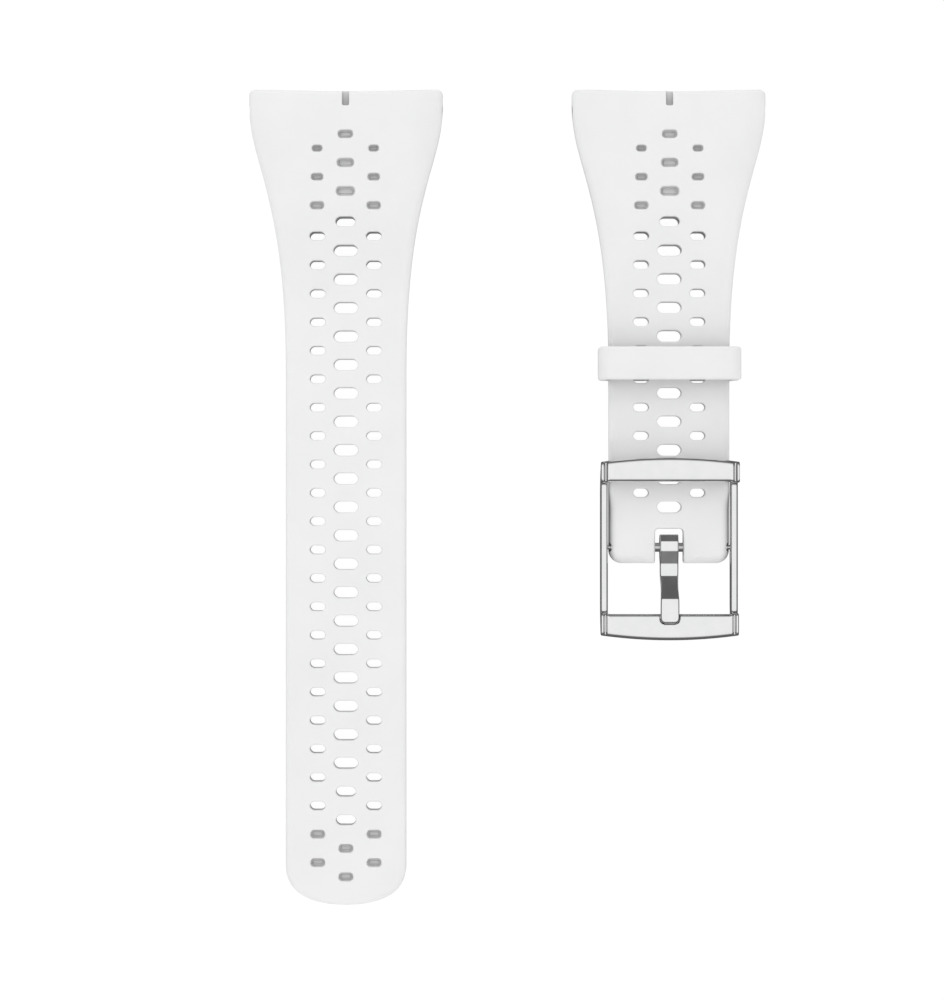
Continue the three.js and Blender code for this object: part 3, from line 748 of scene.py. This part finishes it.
FRAME_HALF = (FRAME_HIGH[0] - FRAME_LOW[0]) / 2
RAIL_WIDTH = 1.25
RAIL_LOW = PIN_Z - 1.2
RAIL_HIGH = PIN_Z + 1.2
RAIL_STRAIGHT = 8.5  # from the pin to where its underside starts to rise
BAR_THICKNESS = 1.1
BAR_ARCH = 0.8
NEAR_TOP = FRAME_HIGH[2]
FAR_TOP = NEAR_TOP - 2.0
NEAR_BAR = 10.8  # from the pin to each bar's inner face
FAR_BAR = 10.95
NEAR_END = FRAME_HIGH[1] - PIN_Y
FAR_END = PIN_Y - FRAME_LOW[1] + 0.25
RAIL_END = 0.4  # a rail's underside ends this far below its bar's
FRAME_EDGE = 0.35
BAR_EDGE = 0.8
RAIL_EDGE = 0.38
FLANK_EDGE = 0.15
BORE_EDGE = 0.1
LEG_BEND = 0.6  # where a rail turns up into a bar
GROOVE_X = FRAME_HALF - 0.75  # a fine line across each bar, over the rail
GROOVE_RADIUS = 0.24
TIP_BORE = 0.43  # for the spring bar's tips
TIP_WALL = 0.35  # what a rail keeps outside its bore
TONGUE_HALF = (TONGUE_HIGH[0] - TONGUE_LOW[0]) / 2
TONGUE_TIP = PIN_Y - TONGUE_LOW[1]
TONGUE_SEAT = 0.5  # how deep its tip lies in the far bar


def sweep_height(run, reach, bend, low, high):
    """Height on a curve that leaves a level at run = 0 and rises to high at run = reach."""
    a = reach - 2 * bend
    b = 2 * bend
    run = np.clip(run, 0, reach)
    t = 2 * run / (b + np.sqrt(b * b + 4 * a * run))
    return low + (high - low) * t**2


def rails_and_bars(across, along, z, bar_start, bar_end, bar_top):
    """Two straight rails that sweep up into a raised bar on each end."""
    bar_low = bar_top - BAR_THICKNESS
    run = along - RAIL_STRAIGHT
    bend = bar_start + 1.0 - RAIL_STRAIGHT  # a little past the bar's inner face
    under = sweep_height(run, bar_end - RAIL_STRAIGHT, bend, RAIL_LOW, bar_low - RAIL_END)
    steepness = 1.4 * (under - RAIL_LOW) / np.maximum(run, 1)
    slant = 1 / np.sqrt(1 + steepness**2)  # turns a height over the sweep into a distance from it
    inner_face = bar_start - along
    leg = smooth_max(z - bar_top, inner_face, BAR_EDGE)
    rails = smooth_max((under - z) * slant, smooth_min(z - RAIL_HIGH, leg, LEG_BEND), FRAME_EDGE)
    rails = smooth_max(rails, np.abs(across - FRAME_HALF + RAIL_WIDTH / 2) - RAIL_WIDTH / 2, RAIL_EDGE)
    bars = smooth_max(smooth_max(bar_low - z, inner_face, FRAME_EDGE), leg, FRAME_EDGE)
    return smooth_min(rails, bars, 0.3)


def frame_outside(x, y, z, bar_top):
    """The straight flanks and the two arched ends."""
    arch = BAR_ARCH * (1 - (x / FRAME_HALF) ** 2)
    near = NEAR_END - BAR_ARCH + arch
    far = FAR_END - BAR_ARCH + arch
    ends = smooth_max(np.maximum(y - near, -y - far), z - bar_top, BAR_EDGE)
    return smooth_max(ends, np.abs(x) - FRAME_HALF, FLANK_EDGE)


def tongue_rest(across, y, z):
    """The hollow in the far bar that the tongue's tip lies in."""
    room = 0.1
    rest = smooth_max(across - TONGUE_HALF, -y - TONGUE_TIP, 1.0) - room
    return np.maximum(rest, np.maximum(FAR_TOP - TONGUE_SEAT - z, y))


def frame_distance(x, y, z):
    """The frame, with y from the pin."""
    across, along = np.abs(x), np.abs(y)
    bar_start = np.where(y > 0, NEAR_BAR, FAR_BAR)
    bar_end = np.where(y > 0, NEAR_END, FAR_END)
    bar_top = np.where(y > 0, NEAR_TOP, FAR_TOP)
    body = rails_and_bars(across, along, z, bar_start, bar_end, bar_top)
    body = np.maximum(body, frame_outside(x, y, z, bar_top))
    groove = GROOVE_RADIUS - np.sqrt((across - GROOVE_X) ** 2 + (z - bar_top) ** 2)
    over_bar = along - bar_start + 0.5
    body = smooth_max(body, np.minimum(groove, over_bar), FLANK_EDGE)
    bore = np.sqrt(y**2 + (z - PIN_Z) ** 2) - TIP_BORE
    bore = np.maximum(bore, across - FRAME_HALF + TIP_WALL)
    body = smooth_max(body, -bore, BORE_EDGE)
    return smooth_max(body, -tongue_rest(across, y, z), BORE_EDGE)


def moved_y(piece, y):
    for vertex in piece.data.vertices:
        vertex.co.y += y * MM
    return piece


def buckle_frame():
    low = (-FRAME_HALF, -FAR_END, FRAME_LOW[2])
    high = (FRAME_HALF, NEAR_END, FRAME_HIGH[2])
    piece = from_distance("steel_buckle_frame", frame_distance, low, high, 0.17, SHORT_X)
    return moved_y(piece, PIN_Y)


def tongue_profile():
    """The tongue from the side, as (y, z) from the pin: along its stepped top to the tip, and back
    along its underside and round the curl."""
    tip_low = FAR_TOP - TONGUE_SEAT + 0.05 - PIN_Z
    tip_top = tip_low + 0.8
    corners = [  # each with its radius
        (1.0, 2.0, 0.2), (-0.55, 2.0, 0.3), (-2.75, 1.15, 0.4), (-4.75, 1.15, 0.4),
        (-8.5, tip_top, 0.4), (-TONGUE_TIP, tip_top, 0.35), (-TONGUE_TIP, tip_low, 0.15),
        (-8.75, tip_low, 0.5), (-5.0, 0.3, 0.5), (-2.9, 0.3, 0.5), (-1.9, -1.0, 0.3),
        (-0.9, -1.45, 0.5), (1.0, -1.45, 0.9), (2.15, -0.5, 0.5), (2.15, 1.33, 0.15),
    ]
    return rounded_polygon([corner[:2] for corner in corners], [corner[2] for corner in corners], 3)


TONGUE_PROFILE = tongue_profile()


def tongue_distance(x, y, z):
    """The tongue, with y from the pin. Seen from above it has a slight waist."""
    waist = 0.1 * np.exp(-(((y + 6.7) / 1.6) ** 2))
    plan = smooth_max(np.abs(x) - TONGUE_HALF + waist, -y - TONGUE_TIP, 1.0)
    side = polygon_distance(y, z - PIN_Z, TONGUE_PROFILE)
    body = smooth_max(side, plan, 0.26)
    hole = np.sqrt(y**2 + (z - PIN_Z) ** 2) - PIN_RADIUS - FIT_GAP
    return smooth_max(body, -hole, BORE_EDGE)


def buckle_tongue():
    low = (TONGUE_LOW[0] - SHORT_X, TONGUE_LOW[1] - PIN_Y, TONGUE_LOW[2])
    high = (TONGUE_HIGH[0] - SHORT_X, TONGUE_HIGH[1] - PIN_Y, TONGUE_HIGH[2])
    piece = from_distance("steel_buckle_tongue", tongue_distance, low, high, 0.11, SHORT_X)
    return moved_y(piece, PIN_Y)


# ---- Pins, bushes, screws and spring ----

CHAMFER = 0.12


def chamfered(x0, x1, radius, size):
    """Profile of a solid round bar with chamfered ends."""
    return [
        (x0, 0), (x0, radius - size), (x0 + size, radius),
        (x1 - size, radius), (x1, radius - size), (x1, 0),
    ]


def span_from(middle, low, high):
    """Which side of the middle a box lies on, and its inner and outer distance from there along X."""
    inner, outer = sorted((abs(low[0] - middle), abs(high[0] - middle)))
    return (1 if low[0] > middle else -1), inner, outer


def lug_pin(name, offset_x):
    end = (LUG_PIN_HIGH[0] - LUG_PIN_LOW[0]) / 2
    radius = (LUG_PIN_HIGH[2] - LUG_PIN_LOW[2]) / 2
    return turned(name, chamfered(-end, end, radius, CHAMFER), LUG_PIN_Y, LUG_PIN_Z, offset_x)


def lug_bush(name, node, offset_x):
    low, high = box_mm(node)
    x0, x1 = low[0] - offset_x, high[0] - offset_x
    radius = (high[2] - low[2]) / 2
    inside = 0.8
    c = CHAMFER
    profile = [
        (x0, inside + c), (x0, radius - c), (x0 + c, radius), (x1 - c, radius),
        (x1, radius - c), (x1, inside + c), (x1 - c, inside), (x0 + c, inside),
    ]
    return turned(name, profile, LUG_PIN_Y, LUG_PIN_Z, offset_x)


def lug_screw(name, node, offset_x):
    """A pan-headed screw with a six-sided socket."""
    low, high = box_mm(node)
    radius = (high[2] - low[2]) / 2
    side, inner, outer = span_from(offset_x, low, high)
    shank, socket = 0.4, 0.5
    head = outer - 0.85
    floor = outer - socket
    past = outer + 1
    profile = [
        (inner, 0), (inner, shank - 0.1), (inner + 0.1, shank), (head, shank), (head, radius - 0.08),
        (head + 0.08, radius), (outer - 0.3, radius), (outer - 0.12, radius - 0.1),
        (outer, radius - 0.3), (outer, 0),
    ]
    hollow = [(floor, 0), (floor, socket), (past, socket), (past, 0)]
    piece = turned(name, [(side * x, r) for x, r in profile], LUG_PIN_Y, LUG_PIN_Z, offset_x)
    hollow = [(side * x, r) for x, r in hollow]
    cut(piece, [turned("socket", hollow, LUG_PIN_Y, LUG_PIN_Z, offset_x, sides=6)])
    return piece


def spring_bar_tube():
    end = (TUBE_HIGH[0] - TUBE_LOW[0]) / 2
    lip, inside, mouth = 0.35, 0.52, 0.43
    c = CHAMFER
    r = PIN_RADIUS
    profile = [
        (-end, mouth), (-end, r - c), (-end + c, r), (end - c, r), (end, r - c), (end, mouth),
        (end - lip, mouth), (end - lip, inside), (lip - end, inside), (lip - end, mouth),
    ]
    return turned("steel_spring_bar_tube", profile, PIN_Y, PIN_Z, SHORT_X)


def spring_bar_tip(name, node):
    """A tip with a head inside the tube, and a flange that it is pressed in by."""
    side, inner, outer = span_from(SHORT_X, *box_mm(node))
    head, shank, flange = 0.46, 0.37, PIN_RADIUS
    start, stop = 9.4, 9.75  # the flange's two faces
    c = 0.06
    profile = [
        (inner, 0), (inner, head - c), (inner + c, head), (inner + 1, head), (inner + 1, shank),
        (start, shank), (start, flange - c), (start + c, flange), (stop - c, flange),
        (stop, flange - c), (stop, shank), (outer - 0.15, shank), (outer, shank - 0.15), (outer, 0),
    ]
    return turned(name, [(side * x, r) for x, r in profile], PIN_Y, PIN_Z, SHORT_X, sides=32)


SPRING_WIRE = 0.08  # its radius
SPRING_HALF = (SPRING_HIGH[0] - SPRING_LOW[0]) / 2


def half_spring(name, side):
    """Half of the spring, from its middle outwards: a wire swept along a helix."""
    coil = (SPRING_HIGH[2] - SPRING_LOW[2]) / 2 - SPRING_WIRE
    half = SPRING_HALF - SPRING_WIRE
    turns, per_turn, sides = 4.5, 28, 8
    whole = 2 * math.pi * turns * side
    count = round(turns * per_turn)
    shell = Shell()
    rings = []
    for i in range(count + 1):
        angle = whole * i / count
        outwards = np.array([0, math.cos(angle), math.sin(angle)])
        along = np.array([side * half, -whole * coil * math.sin(angle), whole * coil * math.cos(angle)])
        across = np.cross(outwards, along / np.linalg.norm(along))
        centre = np.array([side * half * i / count, PIN_Y, PIN_Z]) + coil * outwards
        round_wire = [2 * math.pi * k / sides for k in range(sides)]
        offsets = [math.cos(a) * outwards + math.sin(a) * across for a in round_wire]
        rings.append(shell.add(centre + SPRING_WIRE * offset for offset in offsets))
    shell.bridge_all(rings)
    shell.faces += [tuple(rings[0]), tuple(rings[-1])]
    return shell.make(name, SHORT_X)


# ---- Materials ----


def new_material(name, colour, roughness, metallic=0.0):
    material = bpy.data.materials.new(name)
    material.use_nodes = True
    shader = material.node_tree.nodes["Principled BSDF"]
    shader.inputs["Base Color"].default_value = (*colour, 1)
    shader.inputs["Roughness"].default_value = roughness
    shader.inputs["Metallic"].default_value = metallic
    return material, shader


def add_node(material, kind, **values):
    made = material.node_tree.nodes.new(kind)
    for key, value in values.items():
        setattr(made, key, value)
    return made


def point_in_mm(material, stretch=(1, 1, 1)):
    """Object coordinates in millimetres, stretched per axis."""
    coordinates = add_node(material, "ShaderNodeTexCoord")
    mapping = add_node(material, "ShaderNodeMapping")
    mapping.inputs["Scale"].default_value = [s / MM for s in stretch]
    material.node_tree.links.new(coordinates.outputs["Object"], mapping.inputs["Vector"])
    return mapping.outputs["Vector"]


def noise(material, point, scale, detail=3.0, roughness=0.55):
    texture = add_node(material, "ShaderNodeTexNoise")
    texture.inputs["Scale"].default_value = scale
    texture.inputs["Detail"].default_value = detail
    texture.inputs["Roughness"].default_value = roughness
    material.node_tree.links.new(point, texture.inputs["Vector"])
    return texture.outputs["Fac"]


def ramp(material, source, low, high):
    """Maps the middle of a noise's range to low to high."""
    mapped = add_node(material, "ShaderNodeMapRange")
    mapped.inputs["From Min"].default_value = 0.3
    mapped.inputs["From Max"].default_value = 0.7
    mapped.inputs["To Min"].default_value = low
    mapped.inputs["To Max"].default_value = high
    material.node_tree.links.new(source, mapped.inputs["Value"])
    return mapped.outputs["Result"]


# The sockets of a colour mix node.
MIX_FACTOR = 0
MIX_A = 6
MIX_B = 7
MIX_RESULT = 2


def tinted(material, source, dark, light):
    """A colour that wanders between dark and light with a noise."""
    wander = ramp(material, source, 0, 1)
    mix = add_node(material, "ShaderNodeMix", data_type="RGBA")
    mix.inputs[MIX_A].default_value = (*dark, 1)
    mix.inputs[MIX_B].default_value = (*light, 1)
    material.node_tree.links.new(wander, mix.inputs[MIX_FACTOR])
    return mix.outputs[MIX_RESULT]


def painted_corner_shade(material, colour, reach, strength):
    """Paints shade into a colour: darkens it where other surfaces within reach (mm) stand over it."""
    open_sky = add_node(material, "ShaderNodeAmbientOcclusion", samples=8)
    open_sky.inputs["Distance"].default_value = reach * MM
    mapped = add_node(material, "ShaderNodeMapRange")
    mapped.inputs["To Min"].default_value = 1 - strength
    mix = add_node(material, "ShaderNodeMix", data_type="RGBA", blend_type="MULTIPLY")
    mix.inputs[MIX_FACTOR].default_value = 1.0
    links = material.node_tree.links
    links.new(open_sky.outputs["AO"], mapped.inputs["Value"])
    links.new(colour, mix.inputs[MIX_A])
    links.new(mapped.outputs["Result"], mix.inputs[MIX_B])
    return mix.outputs[MIX_RESULT]


def bumped(material, shader, heights):
    """Chains bumps of (source, depth in mm) into the shader's normal."""
    links = material.node_tree.links
    normal = None
    for source, depth in heights:
        bump = add_node(material, "ShaderNodeBump")
        bump.inputs["Strength"].default_value = 1.0
        bump.inputs["Distance"].default_value = depth * MM
        links.new(source, bump.inputs["Height"])
        if normal is not None:
            links.new(normal, bump.inputs["Normal"])
        normal = bump.outputs["Normal"]
    links.new(normal, shader.inputs["Normal"])


def joined(material, shader, colour, roughness, heights):
    """Joins a colour, a roughness and bumps to the shader."""
    material.node_tree.links.new(colour, shader.inputs["Base Color"])
    material.node_tree.links.new(roughness, shader.inputs["Roughness"])
    bumped(material, shader, heights)
    return material


def silicone():
    """White silicone: a fine sparked grain from the mould, slight clouding, and painted shade in its
    corners, pockets and under the keeper and buckle.
    """
    material, shader = new_material("white_silicone_look", (0.8, 0.8, 0.8), 0.6)
    point = point_in_mm(material)
    clouds = noise(material, point, 0.12, 3)
    grain = noise(material, point, 9.0, 2, 0.6)
    pores = noise(material, point, 3.2, 2)
    colour = tinted(material, clouds, (0.785, 0.787, 0.79), (0.81, 0.81, 0.81))
    # painted shade: the colour darkens where the keeper, the buckle and the pocket walls stand over the
    # silicone
    colour = painted_corner_shade(material, colour, 5.0, 0.38)
    shader.inputs["Specular IOR Level"].default_value = 0.35
    shader.inputs["Sheen Weight"].default_value = 0.05
    roughness = ramp(material, pores, 0.55, 0.68)
    return joined(material, shader, colour, roughness, [(pores, 0.006), (grain, 0.004)])


def polished_steel():
    """Polished stainless steel: hairline scratches and a faint haze."""
    material, shader = new_material("polished_steel_look", (0.83, 0.835, 0.84), 0.13, 1.0)
    haze = noise(material, point_in_mm(material), 0.5, 4)
    scratches = noise(material, point_in_mm(material, (0.35, 14, 3)), 1.0, 5, 0.7)
    colour = tinted(material, haze, (0.8, 0.805, 0.81), (0.85, 0.85, 0.85))
    return joined(material, shader, colour, ramp(material, haze, 0.1, 0.17), [(scratches, 0.0004)])


def turned_steel():
    """Plain steel with the fine rings that a lathe leaves."""
    material, shader = new_material("turned_steel_look", (0.66, 0.665, 0.67), 0.3, 1.0)
    tone = noise(material, point_in_mm(material), 1.3, 3)
    rings = noise(material, point_in_mm(material, (18, 0.6, 0.6)), 1.0, 3)
    colour = tinted(material, tone, (0.6, 0.605, 0.61), (0.7, 0.7, 0.7))
    return joined(material, shader, colour, ramp(material, rings, 0.22, 0.38), [(rings, 0.003)])


def spring_wire():
    """Drawn wire: darker, with streaks along it."""
    material, shader = new_material("spring_wire_look", (0.45, 0.455, 0.46), 0.35, 1.0)
    streaks = noise(material, point_in_mm(material, (3, 12, 12)), 1.0, 4)
    colour = tinted(material, streaks, (0.38, 0.385, 0.39), (0.52, 0.52, 0.52))
    return joined(material, shader, colour, ramp(material, streaks, 0.28, 0.45), [(streaks, 0.002)])


def bush_plastic():
    """Moulded acetal: off-white, waxy, with faint flow marks."""
    material, shader = new_material("bush_plastic_look", (0.8, 0.8, 0.78), 0.42)
    grain = noise(material, point_in_mm(material), 11, 2)
    flow = noise(material, point_in_mm(material, (0.8, 3, 3)), 1.0, 3)
    colour = tinted(material, flow, (0.74, 0.74, 0.72), (0.82, 0.82, 0.8))
    roughness = ramp(material, grain, 0.36, 0.5)
    return joined(material, shader, colour, roughness, [(flow, 0.004), (grain, 0.002)])


SILICONE = silicone()
POLISHED = polished_steel()
TURNED = turned_steel()
WIRE = spring_wire()
PLASTIC = bush_plastic()


def fit(piece, material, body, node_name, angle=35):
    """Gives a piece its look in a material slot, ties it to its body and hides the CAD node that it
    stands in for.
    """
    piece.data.materials.clear()
    piece.data.materials.append(material)
    smooth(piece, angle)
    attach(piece, body)
    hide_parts(node_name)


# ---- The set ----

fit(long_strap(), SILICONE, "long_side", "long_strap")
fit(short_strap(), SILICONE, "short_side", "short_strap")
fit(keeper(), SILICONE, "keeper", "keeper_loop")
fit(buckle_frame(), POLISHED, "frame", "buckle_frame", 60)
fit(buckle_tongue(), POLISHED, "tongue", "buckle_tongue", 60)
fit(spring_bar_tube(), TURNED, "short_side", "spring_bar_tube")
for side, word in ((-1, "left"), (1, "right")):
    tip = spring_bar_tip(f"steel_spring_bar_tip_{word}", f"spring_bar_tip_{word}")
    fit(tip, TURNED, f"tip_{word}", f"spring_bar_tip_{word}")
    coils = half_spring(f"steel_spring_bar_spring_{word}", side)
    fit(coils, WIRE, "short_side", "spring_bar_spring", 60)
    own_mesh(coils)
for strap_word, strap_x in (("long", LONG_X), ("short", SHORT_X)):
    body = f"{strap_word}_side"
    pin_name = f"{strap_word}_lug_pin"
    fit(lug_pin(f"steel_{pin_name}", strap_x), TURNED, body, pin_name)
    for word in ("left", "right"):
        bush_name = f"{strap_word}_lug_bush_{word}"
        screw_name = f"{strap_word}_lug_screw_{word}"
        fit(lug_bush(f"plastic_{bush_name}", bush_name, strap_x), PLASTIC, body, bush_name)
        fit(lug_screw(f"steel_{screw_name}", screw_name, strap_x), TURNED, body, screw_name)


# ---- Floor, light and camera ----


def ground():
    """A wide pale floor that glows a little, so that it stays white round the object."""
    half = 3.0
    corners = [(-half, -half, 0), (half, -half, 0), (half, half, 0), (-half, half, 0)]
    mesh = bpy.data.meshes.new("floor")
    mesh.from_pydata(corners, [], [(0, 1, 2, 3)])
    piece = bpy.data.objects.new("floor", mesh)
    bpy.context.collection.objects.link(piece)
    piece.location.z = -0.02 * MM
    piece.visible_glossy = False
    material, shader = new_material("floor_look", (0.06, 0.06, 0.06), 0.9)
    shader.inputs["Specular IOR Level"].default_value = 0.0
    shader.inputs["Emission Color"].default_value = (1, 1, 1, 1)
    shader.inputs["Emission Strength"].default_value = 0.97
    mesh.materials.append(material)


def lamp(name, place_m, watts):
    """A square lamp aimed at the middle of the set. Steel mirrors the sky and not the lamps."""
    data = bpy.data.lights.new(name, "AREA")
    data.shape = "RECTANGLE"
    data.size = data.size_y = 0.8
    data.energy = watts
    light = bpy.data.objects.new(name, data)
    bpy.context.collection.objects.link(light)
    light.location = place_m
    light.rotation_euler = (-Vector(place_m)).to_track_quat("-Z", "Y").to_euler()
    light.visible_glossy = False
    light.visible_camera = False


def sky():
    """A studio that is bright overhead and dark towards the horizon."""
    world = bpy.data.worlds.new("studio")
    bpy.context.scene.world = world
    world.use_nodes = True
    nodes, links = world.node_tree.nodes, world.node_tree.links
    background = nodes["Background"]
    coordinates = nodes.new("ShaderNodeTexCoord")
    split = nodes.new("ShaderNodeSeparateXYZ")
    colours = nodes.new("ShaderNodeValToRGB")
    links.new(coordinates.outputs["Generated"], split.inputs["Vector"])
    links.new(split.outputs["Z"], colours.inputs["Fac"])
    links.new(colours.outputs["Color"], background.inputs["Color"])
    stops = ((0.0, 0.12), (0.45, 0.13), (0.74, 0.22), (0.93, 0.95), (1.0, 1.0))  # height, brightness
    elements = colours.color_ramp.elements
    while len(elements) < len(stops):
        elements.new(0.5)
    for element, (position, value) in zip(elements, stops):
        element.position = position
        element.color = (value, value, value, 1)
    background.inputs["Strength"].default_value = 1.0


def camera():
    """Straight above, between the two straps."""
    middle = (-0.0059, -0.00046)
    height = 0.57
    view_height = 1 / 6  # metres seen from top to bottom at the band's outer face
    data = bpy.data.cameras.new("camera")
    data.sensor_width = 36
    data.lens = data.sensor_width * (height - BAND_THICKNESS * MM) / view_height
    made = bpy.data.objects.new("camera", data)
    bpy.context.collection.objects.link(made)
    made.location = (*middle, height)
    bpy.context.scene.camera = made


ground()
sky()
lamp("key", (-0.75, 0.1, 0.42), 2.9)
lamp("fill_right", (0.75, 0, 0.4), 2.5)
lamp("fill_front", (0, -0.75, 0.4), 3.9)
lamp("fill_back", (0, 0.75, 0.4), 3.9)
camera()
bpy.context.scene.view_settings.view_transform = "Standard"
